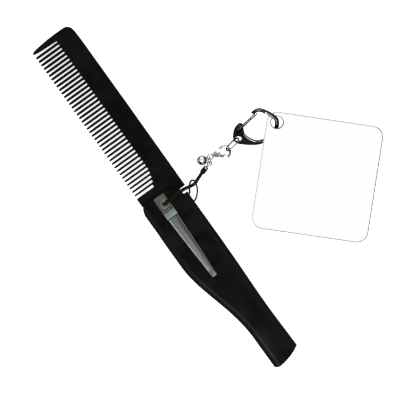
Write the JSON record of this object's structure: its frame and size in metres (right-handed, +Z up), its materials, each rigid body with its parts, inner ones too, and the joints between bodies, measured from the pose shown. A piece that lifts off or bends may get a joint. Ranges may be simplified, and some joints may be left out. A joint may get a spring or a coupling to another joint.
{
  "type": "pocket mirror comb",
  "caption": "Folding pocket comb with a pocket clip, and a square pocket mirror hung from it on a cord strap with a bell, a clasp and a hook.",
  "frame": {"origin": "on the table under the middle of the box around comb and mirror, with the blade open and the mirror laid beside the handle", "axes": "+X along the comb from the handle's tail to the tip of the open blade, +Y towards the teeth, +Z up to the clip side"},
  "size_m": [0.1762, 0.1067, 0.0115],
  "materials": {
    "black_plastic": "glossy moulded",
    "comb_plastic": "glossy moulded",
    "brushed_steel": "brushed",
    "nickel": "bright nickel plate",
    "gunmetal": "dark nickel plate",
    "nylon": "matte",
    "cord": "braided",
    "mirror_face": "polished",
    "mirror_back": "painted"
  },
  "bodies": {
    "handle": {"handle_front_shell": "black_plastic", "handle_back_shell": "black_plastic", "pivot_eyelet": "nickel", "blade_washer_front": "nylon", "blade_washer_back": "nylon", "pocket_clip_head": "brushed_steel", "strap_cord": "cord", "strap_ferrule": "nickel", "jump_ring": "nickel"},
    "blade": {"comb_blade": "comb_plastic"},
    "clip": {"pocket_clip_tongue": "brushed_steel"},
    "bell": {"bell_shell": "nickel", "bell_clapper": "nickel"},
    "clasp": {"clasp_body": "nickel", "clasp_pin": "nickel"},
    "lever": {"clasp_lever": "nickel"},
    "link": {"link_ring": "nickel"},
    "hook": {"hook_body": "gunmetal", "hook_gate_pin": "nickel"},
    "gate": {"hook_gate": "nickel"},
    "mirror": {"mirror_panel": "mirror_face", "mirror_backing": "mirror_back"}
  },
  "joints": [
    {"name": "blade_fold", "type": "hinge", "parent": "handle", "child": "blade", "pos_m": [-0.00065, 0.04315, 0.0039], "axis": [0, 0, 1], "range_deg": [0, 180]},
    {"name": "clip_flex", "type": "hinge", "parent": "handle", "child": "clip", "pos_m": [-0.0034, 0.0435, 0.007], "axis": [0, 1, 0], "range_deg": [0, 5], "stiffness_Nm_per_rad": 0.4},
    {"name": "bell_swing", "type": "hinge", "parent": "handle", "child": "bell", "pos_m": [0.00335, 0.01585, 0.00325], "axis": [0, 0, 1], "range_deg": [-10, 6]},
    {"name": "clasp_swing", "type": "hinge", "parent": "handle", "child": "clasp", "pos_m": [0.00443, 0.01484, 0.00136], "axis": [0, 0, 1], "range_deg": [-3, 20]},
    {"name": "lever_press", "type": "hinge", "parent": "clasp", "child": "lever", "pos_m": [0.00235, 0.01143, 0.00136], "axis": [0, 0, 1], "range_deg": [0, 16], "stiffness_Nm_per_rad": 0.0125},
    {"name": "link_swing", "type": "hinge", "parent": "clasp", "child": "link", "pos_m": [0.00275, 0.00667, 0.00136], "axis": [0, 0, 1], "range_deg": [0, 10]},
    {"name": "hook_swing", "type": "hinge", "parent": "link", "child": "hook", "pos_m": [0.00372, 0.00015, 0.00253], "axis": [0, 0, 1], "range_deg": [0, 15]},
    {"name": "gate_press", "type": "hinge", "parent": "hook", "child": "gate", "pos_m": [0.00691, -0.00295, 0.0055], "axis": [0.4543, -0.326, -0.829], "range_deg": [0, 22], "stiffness_Nm_per_rad": 0.035},
    {"name": "mirror_swing", "type": "hinge", "parent": "hook", "child": "mirror", "pos_m": [-0.00031, -0.0177, 0.00734], "axis": [-0.1052, -0.0034, 0.9944], "range_deg": [-8, 60]}
  ]
}
